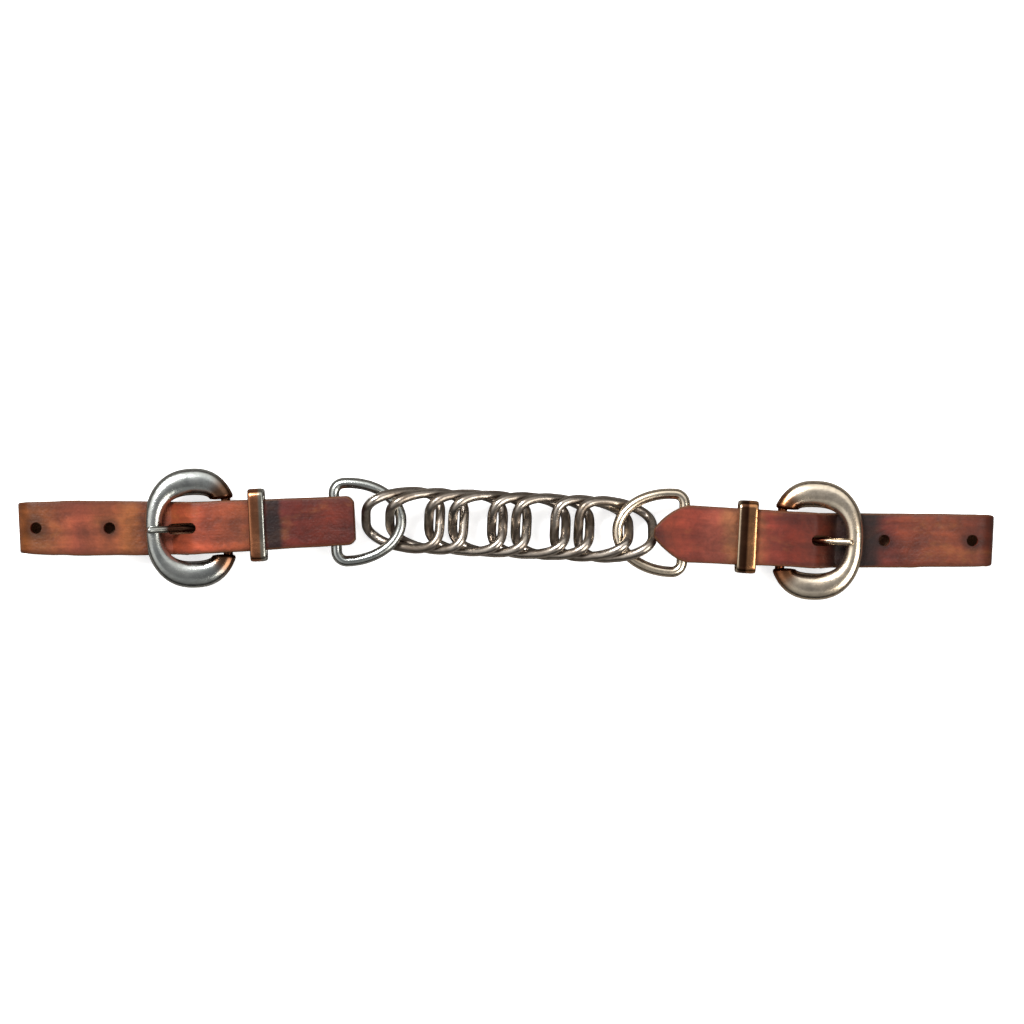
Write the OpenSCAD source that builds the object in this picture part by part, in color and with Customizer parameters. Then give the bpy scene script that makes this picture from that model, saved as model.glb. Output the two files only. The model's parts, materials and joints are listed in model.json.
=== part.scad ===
// Western curb strap with chain: two leather buckle straps joined by a double-link flat curb chain.
// It lies flat, buckles up, on the plane z = 0. Millimetres.

/* [Leather straps] */
// Width of the left strap at its D-ring
left_w_in = 13.6; // [13:0.1:15]
// Width of the left strap at its bit loop
left_w_out = 15.9; // [15:0.1:16.5]
// Width of the right strap at its D-ring
right_w_in = 15.8; // [15:0.1:15.8]
// Width of the right strap at its bit loop
right_w_out = 14.6; // [14:0.1:16]
// Thickness of the leather
leather_t = 2.3; // [2.1:0.1:2.4]
// From the left D-ring's bar to the outer end of the left bit loop
left_reach = 87.5; // [82:0.5:100]
// From the right D-ring's bar to the outer end of the right bit loop
right_reach = 85.7; // [82:0.5:100]
// Clear height inside each bit loop
loop_gap = 6; // [5.5:0.5:8]
// How far the left strap's tip passes its D-ring's bar
left_tip = 5.6; // [4:0.1:6]
// How far the right strap's tip passes its D-ring's bar
right_tip = 8.2; // [6:0.1:8.4]
// Radius of the punched adjustment holes
hole_r = 1.6; // [1.2:0.1:2]
// Length of the rounded end of the left strap's tip
left_taper = 2; // [1.5:0.5:5]
// Length of the pointed end of the right strap's tip
right_taper = 10; // [5:0.5:11]

/* [Buckles] */
// From the left D-ring's bar to the left buckle's heel bar
left_bar_u = 30; // [29:0.5:34]
// From the right D-ring's bar to the right buckle's heel bar
right_bar_u = 27.1; // [26.5:0.1:32]
// Diameter of the heel bar
heel_bar_d = 2.6; // [2.2:0.1:2.8]
// Outer width of the frame, across the strap
frame_w = 33; // [32.5:0.5:36]
// Width of the frame's opening
frame_open_w = 18.2; // [18:0.1:20]
// How steeply the curved end stands up over the strap, in degrees
frame_tilt = 5; // [4.5:0.5:6]
// Diameter of the tongue's wire
tongue_d = 2; // [1.6:0.1:2]
// From the left heel bar to the end of the left tongue
left_tongue_len = 22.2; // [20:0.1:23]
// From the right heel bar to the end of the right tongue
right_tongue_len = 20; // [19.6:0.1:23]

/* [Keepers] */
// Width of the left band, along the strap
left_keeper_w = 4.4; // [4:0.1:5]
// Width of the right band, along the strap
right_keeper_w = 5.4; // [4:0.1:5.5]
// Thickness of the band
keeper_t = 1.4; // [1:0.1:1.6]
// From the left D-ring's bar to the near edge of the left keeper
left_keeper_u = 19; // [14:0.1:19.2]
// From the right D-ring's bar to the near edge of the right keeper
right_keeper_u = 14.6; // [12:0.1:15]

/* [D-rings] */
// Diameter of the wire
d_wire = 3; // [2.8:0.1:3.2]
// From the middle of one side wire to the middle of the other
d_height = 21.6; // [21.6:0.1:24]
// From the middle of the bar to the middle of the curved end
d_depth = 18.2; // [17.5:0.1:20]

/* [Chain] */
// Diameter of the links' wire
link_wire = 2.75; // [2.4:0.05:2.8]
// Length of a link, between wire centres
link_len = 20.5; // [20.3:0.1:20.8]
// Width of a link, between wire centres
link_w = 15.9; // [15.5:0.1:16.5]
// From one link to the next but one
link_pitch = 17.4; // [17.2:0.1:17.4]
// From an odd link to the even link after it
link_step = 6.6; // [6.6:0.1:7.4]
// Twist of a link along the chain, in degrees a millimetre
link_twist = 3.9; // [3.8:0.1:4.2]
// Height of the chain's middle plane
chain_z = 6.7; // [6.7:0.05:6.9]

/* [How it lies] */
// Turn of the left strap in plan, in degrees
left_yaw = 2.8; // [-5:0.1:5]
// Turn of the chain in plan, in degrees
chain_yaw = -2.8; // [-4:0.1:4]
// Turn of the right strap in plan, in degrees
right_yaw = -3; // [-5:0.1:5]
// Sideways bend of the left strap at its buckle, in degrees
left_bend = 2.9; // [0:0.1:4.5]
// Sideways bend of the right strap at its buckle, in degrees
right_bend = 3; // [0:0.1:4.5]
// How far the left strap sits off the middle of its D-ring's bar
left_shift = 0.4; // [0:0.1:0.6]
// How far the right strap sits off the middle of its D-ring's bar
right_shift = 0; // [0:0.1:0.1]

/* [Hidden] */

LEATHER_LEFT = [0.69, 0.38, 0.26];
LEATHER_RIGHT = [0.60, 0.30, 0.21];
NICKEL = [0.72, 0.71, 0.69];
NICKEL_WARM = [0.80, 0.76, 0.68];
CHAIN_METAL = [0.50, 0.46, 0.42];
THREAD = [0.86, 0.80, 0.66];

// Clearances: a running fit round a bar, the air between leather layers, and how deep a bore bites its fold
fit = 0.05;
layer_gap = 0.1;
bore_bite = 0.02;

// Heights of the leather's middle line, from the floor up
half_t = leather_t / 2;
heel_bar_r = heel_bar_d / 2;
run_z = half_t;
bar_z = 2 * leather_t + layer_gap + fit + heel_bar_r;
heel_fold_r = heel_bar_r + fit - bore_bite + half_t;
tab_z = bar_z + heel_fold_r;
d_fold_r = d_wire / 2 + fit - bore_bite + half_t;
billet_z = max(tab_z, chain_z + d_fold_r) + leather_t + 2 * layer_gap;
loop_r = (loop_gap + leather_t) / 2;

// The billet dips from above the heel bar to below the frame's curved end; distances are from the heel bar
dip_start = 8;
dip_end = 15.4;
under_end = 23.8;
under_z = 5.05;

// The free tip: where it starts to lift off the layer below and by how much, the width its end narrows to,
// and how far inwards of the D-ring's bar the leather may reach
tip_from = 4;
tip_lift = 1.8;
left_tip_half_w = 5.9;
right_tip_half_w = 1.8;
far_past_tip = 12;

// Lengths of the fold's lower layer at the heel bar, and of the rise from the floor to the D-ring
tab_fold_len = 5.6;
run_rise = 10;

// Frame outline: rounded halves about a middle that lies outside the heel bar, each with its own half length
// and roundness. Two feet come down to the strap's edges and hold the heel bar, foot_gap clear of the
// leather. Low and high are the band's depth and dome.
frame_mid = 9;
frame_out_a = 13.7;
frame_out_n = 2.3;
frame_in_a = 8.9;
frame_in_n = 2.6;
frame_heel_out_a = 12.4;
frame_foot_len = 4.6;
foot_gap = 0.4;
left_foot = (left_w_in + (left_w_out - left_w_in) * left_bar_u / left_reach) / 2 + foot_gap;
right_foot = (right_w_in + (right_w_out - right_w_in) * right_bar_u / right_reach) / 2 + foot_gap;
heel_bar_bite = 0.5;
frame_low = 1.3;
frame_high = 2.1;

// Tongue: its eye, where its wire leaves the eye, how steeply it rises, and the slot it passes through
tongue_r = tongue_d / 2;
eye_r = 3;
eye_w = 2.4;
eye_room = 0.6;
tongue_from = 1.6;
tongue_base = 1.1;
tongue_rise = 12;
slot_w = 3.2;
slot_from = 7.8;
slot_to = 14.8;
slot_floor = leather_t + 1;

// Bit-loop holes, as distances from the D-ring's bar
left_holes = [left_reach - 25.1, left_reach - 5.3];
right_holes = [right_reach - 30.1, right_reach - 6.3];

// Where the straps' sideways bend starts, outwards of the heel bar
bend_from = 10;

// Keeper: the room inside it, below the tab and above the billet
keeper_inner_w = 17.3;
keeper_corner = 2.2;
keeper_slack_low = 0.15;
keeper_slack_high = 0.2;
keeper_low = tab_z - half_t - keeper_slack_low;
keeper_high = billet_z + half_t + keeper_slack_high;

// Stitching: a row of stitches behind the heel bar, each with a bar on both faces and two legs
stitch_d = 0.8;
stitch_leg_d = 0.72;
stitch_len = 2.4;
stitch_pitch = 3.4;
stitch_back = 3.6;

// D-ring outline: round corners at the bar, then a bow. The bent wire overlaps the ends of the straight bar,
// and is a little larger so that its facets never cut below the bar.
d_corner = 2.8;
d_straight = 0.4;
d_bar_half = 8.3;
d_overlap = 0.6;
facet_grow = 1.01;

// Chain layout: how far a D-ring's bow lies inside the links on it, how square a link's outline is,
// and the roll of each pair of links
link_count = 8;
link_gap = 3.1;
link_exponent = 4;
link_steps = 48;
link_sides = 10;
pair_roll = [15, 4, -4, -15];

// Place along the chain, and roll, of link k
function link_x(k) = (floor((k - 1) / 2) - 1.5) * link_pitch + ((k - 1) % 2 - 0.5) * link_step;
function link_roll(k) = pair_roll[floor((k - 1) / 2)];
d_end_x = link_x(link_count - 1) + link_len / 2 - link_gap;

// Plan positions, before the whole is moved so that the middle of its box is at the origin
function turned(v, a) = [v[0] * cos(a) - v[1] * sin(a), v[0] * sin(a) + v[1] * cos(a)];
left_bar_raw = turned([-d_end_x, 0], chain_yaw) + turned([-d_depth, 0], left_yaw);
right_bar_raw = turned([d_end_x, 0], chain_yaw) + turned([d_depth, 0], right_yaw);
function bend_y(u, bar_u, bend) = max(0, u - bar_u - bend_from) * tan(bend);
function far_x(bar, side, reach, yaw, edge_y) = bar[0] + side * (reach * cos(yaw) + edge_y * abs(sin(yaw)));
function frame_y(bar, side, bar_u, yaw, y) = bar[1] + turned([side * (bar_u + frame_mid), y], yaw)[1];
left_edge_y = left_shift + bend_y(left_reach, left_bar_u, left_bend) + left_w_out / 2;
right_edge_y = right_shift + bend_y(right_reach, right_bar_u, right_bend) + right_w_out / 2;
left_far_x = far_x(left_bar_raw, -1, left_reach, left_yaw, left_edge_y);
right_far_x = far_x(right_bar_raw, 1, right_reach, right_yaw, right_edge_y);
left_frame_y = frame_y(left_bar_raw, -1, left_bar_u, left_yaw, left_shift);
right_frame_y = frame_y(right_bar_raw, 1, right_bar_u, right_yaw, right_shift);
shift = -[left_far_x + right_far_x, left_frame_y + right_frame_y] / 2;

// Frames of reference. In a strap's frame, +X runs outwards from the D-ring's bar.
// y is the strap's sideways shift on that bar.
module on_left(y = left_shift) {
  translate([left_bar_raw[0] + shift[0], left_bar_raw[1] + shift[1], 0])
    rotate([0, 0, left_yaw])
      translate([0, y, 0])
        mirror([1, 0, 0])
          children();
}

module on_right(y = right_shift) {
  translate([right_bar_raw[0] + shift[0], right_bar_raw[1] + shift[1], 0])
    rotate([0, 0, right_yaw])
      translate([0, y, 0])
        children();
}

module on_chain() {
  translate([shift[0], shift[1], chain_z])
    rotate([0, 0, chain_yaw])
      children();
}

// A closed surface through a row of equal cross-sections
module skin(rings, closed = false) {
  n = len(rings);
  m = len(rings[0]);
  spans = closed ? n : n - 1;
  sides = [
    for (i = [0:spans - 1], j = [0:m - 1])
      let (
        here = i * m,
        next = ((i + 1) % n) * m,
        k = (j + 1) % m
      )
        each [[here + j, here + k, next + k], [here + j, next + k, next + j]]
  ];
  caps = closed ? [] : [[for (j = [m - 1:-1:0]) j], [for (j = [0:m - 1]) (n - 1) * m + j]];
  polyhedron([for (r = rings) each r], concat(sides, caps), convexity = 8);
}

// A round section of a wire at p, square to the tangent, with up marking where the section starts
function unit(v) = v / norm(v);
function wire_section(p, tangent, up, r, sides) =
  let (side = unit(cross(tangent, up)), top = unit(cross(side, tangent)))
    [for (i = [0:sides - 1]) p + r * (cos(360 * i / sides) * side + sin(360 * i / sides) * top)];

function signed_power(v, e) = sign(v) * pow(abs(v), e);
function smooth(t) = t * t * (3 - 2 * t);

// Points along an arc, and between p and q on a curve that is level at both ends
function arc(c, r, from, to, n) = [
  for (i = [0:n])
    let (a = from + (to - from) * i / n)
      c + r * [cos(a), sin(a)]
];
function ease(p, q, n) = [
  for (i = [1:n - 1])
    let (t = i / n)
      [p[0] + (q[0] - p[0]) * t, p[1] + (q[1] - p[1]) * smooth(t)]
];

// Side view of one strip of leather. It folds round the heel bar, then round the D-ring,
// then into the bit loop, and runs back over the buckle to the tip.
function strip_line(bar_u, reach, tip) =
  let (
    low = [bar_u - tab_fold_len, tab_z - leather_t - layer_gap],
    fold_u = reach - loop_r - half_t
  )
    concat(
      [low],
      ease(low, [bar_u, bar_z - heel_fold_r], 8),
      arc([bar_u, bar_z], heel_fold_r, -90, 90, 16),
      ease([bar_u, tab_z], [0, chain_z + d_fold_r], 6),
      arc([0, chain_z], d_fold_r, 90, 270, 16),
      ease([0, chain_z - d_fold_r], [run_rise, run_z], 8),
      [[run_rise, run_z]],
      arc([fold_u, run_z + loop_r], loop_r, -90, 90, 18),
      ease([fold_u, run_z + 2 * loop_r], [bar_u + under_end, under_z], 14),
      [[bar_u + under_end, under_z]],
      [[bar_u + dip_end, under_z]],
      ease([bar_u + dip_end, under_z], [bar_u + dip_start, billet_z], 14),
      [[bar_u + dip_start, billet_z]],
      [[tip_from, billet_z]],
      [for (i = [1:5]) let (t = i / 5) [tip_from - (tip_from + tip) * t, billet_z + tip_lift * t * t]]
    );

// Offsets a line to one side by d, square to it
function beside(line, d) = [
  for (i = [0:len(line) - 1])
    let (t = unit(line[min(i + 1, len(line) - 1)] - line[max(i - 1, 0)]))
      line[i] + d * [-t[1], t[0]]
];

module strip_side(line) {
  back = beside(line, -half_t);
  polygon(concat(beside(line, half_t), [for (i = [len(back) - 1:-1:0]) back[i]]));
}

// What is cut away beside the tip, in plan
module tip_waste(tip, taper, half_w, w) {
  steps = 8;
  edge = [
    for (i = [0:steps])
      [-tip + taper * i / steps, half_w + (w / 2 - half_w) * sin(90 * i / steps)]
  ];
  for (side = [-1, 1])
    polygon(concat(
      [for (p = edge) [p[0], side * p[1]]],
      [[-tip + taper, side * w], [-tip - 1, side * w], [-tip - 1, side * half_w]]
    ));
}

// The strip from above: it widens or narrows outwards, and bends sideways outside the buckle
module strip_plan(bar_u, reach, w_in, w_out, bend) {
  past = 1;
  bend_u = bar_u + bend_from;
  bend_w = w_in + (w_out - w_in) * bend_u / reach;
  far_y = bend_y(reach + past, bar_u, bend);
  polygon([
    [-far_past_tip, -w_in / 2], [0, -w_in / 2], [bend_u, -bend_w / 2], [reach + past, far_y - w_out / 2],
    [reach + past, far_y + w_out / 2], [bend_u, bend_w / 2], [0, w_in / 2], [-far_past_tip, w_in / 2]
  ]);
}

module strap(bar_u, reach, tip, taper, tip_half_w, holes, w_in, w_out, bend) {
  wide = 30;
  difference() {
    intersection() {
      rotate([90, 0, 0])
        linear_extrude(wide, center = true)
          strip_side(strip_line(bar_u, reach, tip));
      translate([0, 0, -1])
        linear_extrude(wide)
          strip_plan(bar_u, reach, w_in, w_out, bend);
    }
    // folds round the D-ring's bar and the heel bar
    translate([0, 0, chain_z])
      rotate([90, 0, 0])
        cylinder(r = d_wire / 2 + fit, h = wide, center = true, $fn = 64);
    translate([bar_u, 0, bar_z])
      rotate([90, 0, 0])
        cylinder(r = heel_bar_r + fit, h = wide, center = true, $fn = 64);
    // room for the tongue's eye in the heel fold
    translate([bar_u, 0, bar_z])
      cube([2 * (eye_r + eye_room), slot_w, 2 * (heel_fold_r + half_t - bore_bite)], center = true);
    // tongue slot and adjustment holes, through the billet only
    translate([0, 0, slot_floor]) {
      translate([bar_u + slot_from, -slot_w / 2, 0])
        cube([slot_to - slot_from, slot_w, billet_z]);
      for (u = holes)
        translate([u, bend_y(u, bar_u, bend), 0])
          cylinder(r = hole_r, h = 4 * loop_r, $fn = 32);
    }
    translate([0, 0, billet_z - half_t - layer_gap / 2])
      linear_extrude(2 * leather_t)
        tip_waste(tip, taper, tip_half_w, w_in);
  }
}

// Thread through the two layers of the heel fold
module stitching(bar_u) {
  fold_low_z = bar_z - heel_fold_r;
  fold_end_z = tab_z - leather_t - layer_gap;
  low_z = fold_low_z + (fold_end_z - fold_low_z) * smooth(stitch_back / tab_fold_len) - half_t;
  top_z = tab_z + half_t - stitch_d / 2;
  for (i = [-1.5:1.5])
    translate([bar_u - stitch_back, i * stitch_pitch, 0]) {
      for (z = [low_z, top_z])
        translate([0, 0, z])
          rotate([90, 0, 0])
            cylinder(d = stitch_d, h = stitch_len, center = true, $fn = 24);
      for (side = [-1, 1])
        translate([0, side * (stitch_len - stitch_d) / 2, low_z])
          cylinder(d = stitch_leg_d, h = top_z - low_z, $fn = 24);
    }
}

// The angle, from the middle of the curved end, at which the outline comes down to a foot
function frame_end(foot) = 180 - asin(pow(foot / (frame_w / 2), frame_out_n / 2));

// Cross-section of the domed frame at an angle from the middle of the curved end
function frame_section(angle, foot) =
  let (
    squareness = 0.8,
    c = cos(angle),
    s = sin(angle),
    out_a = abs(angle) <= 90 ? frame_out_a : frame_heel_out_a,
    outer = [out_a * signed_power(c, 2 / frame_out_n), frame_w / 2 * signed_power(s, 2 / frame_out_n)],
    heel = (abs(angle) - 90) / (frame_end(foot) - 90),
    heel_open = frame_open_w / 2 + (foot - frame_open_w / 2) * heel * heel,
    inner = abs(angle) <= 90
      ? [frame_in_a * signed_power(c, 2 / frame_in_n), frame_open_w / 2 * signed_power(s, 2 / frame_in_n)]
      : [-frame_foot_len * sin(90 * heel), sign(s) * heel_open]
  )
    [
      for (i = [0:11])
        let (
          a = 30 * i + 15,
          across = 0.5 + 0.5 * signed_power(cos(a), squareness),
          z = signed_power(sin(a), squareness) * (sin(a) > 0 ? frame_high : frame_low),
          p = inner + (outer - inner) * across
        )
          [p[0], p[1], z]
    ];

module buckle_frame(bar_u, foot) {
  frame_steps = 34;
  translate([bar_u, 0, bar_z])
    rotate([0, -frame_tilt, 0]) {
      translate([frame_mid, 0, 0])
        skin([for (i = [0:frame_steps]) frame_section(frame_end(foot) * (2 * i / frame_steps - 1), foot)]);
      rotate([90, 0, 0])
        cylinder(r = heel_bar_r, h = frame_open_w + 2 * heel_bar_bite, center = true, $fn = 64);
    }
}

module buckle_tongue(bar_u, length) {
  translate([bar_u, 0, bar_z]) {
    difference() {
      union() {
        rotate([90, 0, 0])
          cylinder(r = eye_r, h = eye_w, center = true, $fn = 48);
        translate([tongue_from, 0, tongue_base])
          rotate([0, 90 - tongue_rise, 0]) {
            cylinder(r = tongue_r, h = length - tongue_r - tongue_from, $fn = 32);
            translate([0, 0, length - tongue_r - tongue_from])
              sphere(r = tongue_r, $fn = 32);
          }
      }
      rotate([90, 0, 0])
        cylinder(r = heel_bar_r + fit, h = 2 * eye_w, center = true, $fn = 64);
    }
  }
}

// A rectangle with round corners, made of true arcs
module round_rect(w, h, r) {
  square([w - 2 * r, h], center = true);
  square([w, h - 2 * r], center = true);
  for (x = [-1, 1], y = [-1, 1])
    translate([x * (w / 2 - r), y * (h / 2 - r)])
      circle(r = r, $fn = 40);
}

module keeper(u, w) {
  inner_h = keeper_high - keeper_low;
  translate([u, 0, (keeper_low + keeper_high) / 2])
    rotate([90, 0, 90])
      linear_extrude(w)
        difference() {
          round_rect(keeper_inner_w + 2 * keeper_t, inner_h + 2 * keeper_t, keeper_corner);
          round_rect(keeper_inner_w, inner_h, keeper_corner - keeper_t);
        }
}

// The D-ring's wire from one end of the straight bar round to the other, bar at the origin, curved end at -X
function d_line() =
  let (
    half = d_height / 2,
    corner = arc([-d_corner, half - d_corner], d_corner, 0, 90, 6),
    bow_u = d_corner + d_straight,
    bow = [for (i = [0:36]) [-bow_u - (d_depth - bow_u) * sin(5 * i), half * cos(5 * i)]]
  )
    concat(
      [[0, half - d_corner - d_overlap]],
      corner,
      bow,
      [for (i = [6:-1:0]) [corner[i][0], -corner[i][1]]],
      [[0, -half + d_corner + d_overlap]]
    );

module d_ring() {
  line = d_line();
  last = len(line) - 1;
  translate([0, 0, chain_z]) {
    skin([
      for (i = [0:last])
        let (t = line[min(i + 1, last)] - line[max(i - 1, 0)])
          wire_section([line[i][0], line[i][1], 0], [t[0], t[1], 0], [0, 0, 1], d_wire / 2 * facet_grow, 12)
    ]);
    rotate([90, 0, 0])
      cylinder(d = d_wire, h = 2 * d_bar_half, center = true, $fn = 64);
  }
}

// A link is an oval that turns about the chain's axis as it runs along it
function link_point(t, roll) =
  let (
    x = link_len / 2 * signed_power(cos(t), 2 / link_exponent),
    w = link_w / 2 * signed_power(sin(t), 2 / link_exponent),
    turn = roll - link_twist * x
  )
    [x, w * cos(turn), w * sin(turn)];

module chain_link(k) {
  roll = link_roll(k);
  color(CHAIN_METAL)
    on_chain()
      translate([link_x(k), 0, 0])
        skin([
          for (i = [0:link_steps - 1])
            let (
              t = 360 * (i + 0.5) / link_steps,
              p = link_point(t, roll),
              turn = roll - link_twist * p[0]
            )
              wire_section(
                p, link_point(t + 1, roll) - link_point(t - 1, roll), [0, -sin(turn), cos(turn)],
                link_wire / 2, link_sides
              )
        ], closed = true);
}

module left_strap() {
  color(LEATHER_LEFT)
    on_left()
      strap(
        left_bar_u, left_reach, left_tip, left_taper, left_tip_half_w, left_holes,
        left_w_in, left_w_out, left_bend
      );
}

module right_strap() {
  color(LEATHER_RIGHT)
    on_right()
      strap(
        right_bar_u, right_reach, right_tip, right_taper, right_tip_half_w, right_holes,
        right_w_in, right_w_out, right_bend
      );
}

module left_stitching() {
  color(THREAD)
    on_left()
      stitching(left_bar_u);
}

module right_stitching() {
  color(THREAD)
    on_right()
      stitching(right_bar_u);
}

module left_buckle_frame() {
  color(NICKEL)
    on_left()
      buckle_frame(left_bar_u, left_foot);
}

module right_buckle_frame() {
  color(NICKEL_WARM)
    on_right()
      buckle_frame(right_bar_u, right_foot);
}

module left_buckle_tongue() {
  color(NICKEL)
    on_left()
      buckle_tongue(left_bar_u, left_tongue_len);
}

module right_buckle_tongue() {
  color(NICKEL_WARM)
    on_right()
      buckle_tongue(right_bar_u, right_tongue_len);
}

module left_keeper() {
  color(NICKEL)
    on_left()
      keeper(left_keeper_u, left_keeper_w);
}

module right_keeper() {
  color(NICKEL_WARM)
    on_right()
      keeper(right_keeper_u, right_keeper_w);
}

module left_d_ring() {
  color(NICKEL)
    on_left(0)
      d_ring();
}

module right_d_ring() {
  color(NICKEL_WARM)
    on_right(0)
      d_ring();
}

left_strap();
left_stitching();
left_buckle_frame();
left_buckle_tongue();
left_keeper();
left_d_ring();
chain_link(1);  // chain_link_1
chain_link(2);  // chain_link_2
chain_link(3);  // chain_link_3
chain_link(4);  // chain_link_4
chain_link(5);  // chain_link_5
chain_link(6);  // chain_link_6
chain_link(7);  // chain_link_7
chain_link(8);  // chain_link_8
right_d_ring();
right_keeper();
right_buckle_tongue();
right_buckle_frame();
right_stitching();
right_strap();
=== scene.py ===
"""A western curb strap with chain, seen from above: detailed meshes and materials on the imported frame."""

import json
import math

import bmesh
import bpy
from mathutils import Matrix, Vector, noise


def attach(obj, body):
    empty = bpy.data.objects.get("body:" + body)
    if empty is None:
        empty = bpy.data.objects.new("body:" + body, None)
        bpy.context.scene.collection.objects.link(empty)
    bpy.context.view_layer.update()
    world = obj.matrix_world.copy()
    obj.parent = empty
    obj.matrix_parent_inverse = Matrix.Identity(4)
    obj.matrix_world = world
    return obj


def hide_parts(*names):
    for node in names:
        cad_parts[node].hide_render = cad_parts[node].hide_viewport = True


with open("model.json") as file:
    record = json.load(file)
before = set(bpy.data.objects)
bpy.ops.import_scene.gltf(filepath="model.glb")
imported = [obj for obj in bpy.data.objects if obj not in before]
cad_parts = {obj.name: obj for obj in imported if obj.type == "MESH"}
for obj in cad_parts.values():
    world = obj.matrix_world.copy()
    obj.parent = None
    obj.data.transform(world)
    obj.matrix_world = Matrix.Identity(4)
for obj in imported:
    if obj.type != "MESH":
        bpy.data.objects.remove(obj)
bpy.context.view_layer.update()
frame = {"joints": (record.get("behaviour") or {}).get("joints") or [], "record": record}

MM = 0.001
JOINTS = {j["name"]: j for j in frame["joints"]}
Z_UP = Vector((0, 0, 1))
CORNERS = ((-1, -1), (1, -1), (1, 1), (-1, 1))

# Sizes in millimetres, as in the CAD model
LEATHER_T = 2.3
HALF_T = LEATHER_T / 2
LAYER_GAP = 0.1
FIT = 0.05
BORE_BITE = 0.02
HEEL_BAR_R = 1.3
D_WIRE_R = 1.5
LOOP_R = (6 + LEATHER_T) / 2
HEEL_FOLD_R = HEEL_BAR_R + FIT - BORE_BITE + HALF_T
D_FOLD_R = D_WIRE_R + FIT - BORE_BITE + HALF_T
TAB_FOLD = 5.6
RUN_RISE = 10
DIP_START, DIP_END = 8.0, 15.4
UNDER_END, UNDER_Z = 23.8, 5.05
TIP_FROM, TIP_LIFT = 4, 1.8
BEND_FROM = 10
SLOT_W = 3.0
HOLE_R = 1.6
EYE_ROOM_LEN, EYE_ROOM_W = 7.2, 3.1
KEEPER_T, KEEPER_INNER_W, KEEPER_CORNER = 1.4, 17.3, 2.2
KEEPER_SLACK_LOW, KEEPER_SLACK_HIGH = 0.15, 0.2
D_DEPTH, D_HEIGHT, D_CORNER = 18.2, 21.6, 2.8
LINK_WIRE_R = 1.375
LINK_LEN, LINK_W = 20.5, 15.9
LINK_PITCH, LINK_STEP, LINK_TWIST, LINK_POWER = 17.4, 6.6, 3.9, 4.0
PAIR_ROLL = (15, 4, -4, -15)

# What the visual model changes: wires thinned to clear each other as the CAD's faceted ones do, a strip
# trimmed and eased at its edges, and narrower where it folds
LINK_PLUMP = 0.97
D_PLUMP = 0.995
TRIM_W, TRIM_T = 0.05, 0.04
PINCH_POWER = 2.2
FOLD_PINCH_FROM, FOLD_PINCH_LEN = 1.5, 5.3
END_THICKNESS = (0.62, 0.86, 0.97)
END_TRIM = (0.5, 0.2, 0.05)
RIM_WAVE, DENT = 0.22, 0.05


# Places: matrices from a local frame in millimetres to the model's frame in metres
def joint_place(name, along, across):
    """The frame at a joint's pivot, with its x axis along and its y axis across."""
    origin = Vector(JOINTS[name]["pos_m"])
    origin.z = 0
    columns = (along * MM, across * MM, Z_UP * MM)
    return Matrix([[c[row] for c in columns] + [origin[row]] for row in range(3)] + [[0, 0, 0, 1]])


class Side:
    """One strap: where it lies, and the sizes that differ from the other one's."""

    def __init__(self, name, outward, **sizes):
        self.name = name
        swing = JOINTS[f"{name}_buckle_swing"]
        across = Vector(swing["axis"]).normalized() * -outward
        along = across.cross(Z_UP) * outward
        ring_joint = "left_d_ring_swing" if name == "left" else "right_strap_swing"
        self.place = joint_place(ring_joint, along, across)
        self.chain_z = JOINTS[ring_joint]["pos_m"][2] / MM
        self.bar_z = swing["pos_m"][2] / MM
        bar = self.place.inverted() @ Vector(swing["pos_m"])
        self.bar_u = bar.x
        self.__dict__.update(sizes)
        self.ring_place = self.place @ Matrix.Translation((0, -self.shift, 0))
        self.tab_z = self.bar_z + HEEL_FOLD_R
        self.billet_z = max(self.tab_z, self.chain_z + D_FOLD_R) + LEATHER_T + 2 * LAYER_GAP

    def width(self, u):
        """The strap's width at u, narrower where it folds round the bit."""
        w = self.w_in + (self.w_out - self.w_in) * max(u, 0) / self.reach
        near_end = max(0.0, (u - self.reach + self.pinch_len) / self.pinch_len)
        return w - self.pinch * near_end ** PINCH_POWER

    def fold_width(self, u):
        """The same for the layers below the tip, which are narrower where they fold round the D-ring."""
        return self.width(u) - self.fold_pinch * smooth_step((FOLD_PINCH_FROM - u) / FOLD_PINCH_LEN)

    def middle(self, u):
        """How far the strap's middle line has bent to the side at u."""
        return max(0.0, u - self.bar_u - BEND_FROM) * math.tan(math.radians(self.bend))


LEFT = Side(
    "left", -1, reach=87.5, tip=5.6, taper=2.0, tip_half=5.9, w_in=13.6, w_out=15.9, bend=2.9, shift=0.4,
    keeper_u=19.0, keeper_w=4.4, tongue_len=22.2, holes=(62.4, 82.2), slot=(8.0, 16.6), pinch=1.9,
    pinch_len=26, fold_pinch=0.0, foot=7.6, seed=3.0,
)
RIGHT = Side(
    "right", 1, reach=85.7, tip=8.2, taper=10.0, tip_half=1.8, w_in=15.8, w_out=14.6, bend=3.0, shift=0.0,
    keeper_u=14.6, keeper_w=5.4, tongue_len=20.0, holes=(55.6, 79.4), slot=(7.9, 13.6), pinch=0.6,
    pinch_len=8, fold_pinch=4.8, foot=8.1, seed=11.0,
)
CHAIN_ACROSS = -Vector(JOINTS["link_5_swing"]["axis"]).normalized()
CHAIN_PLACE = joint_place("link_5_swing", CHAIN_ACROSS.cross(Z_UP), CHAIN_ACROSS)
CHAIN_Z = JOINTS["link_5_swing"]["pos_m"][2] / MM


# Mesh helpers
def signed_power(value, power):
    return math.copysign(abs(value) ** power, value)


def smooth_step(t):
    t = min(max(t, 0.0), 1.0)
    return t * t * (3 - 2 * t)


def wobble(*at, size):
    """Smooth noise of about -size to size."""
    return size * noise.noise(Vector(at))


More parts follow.
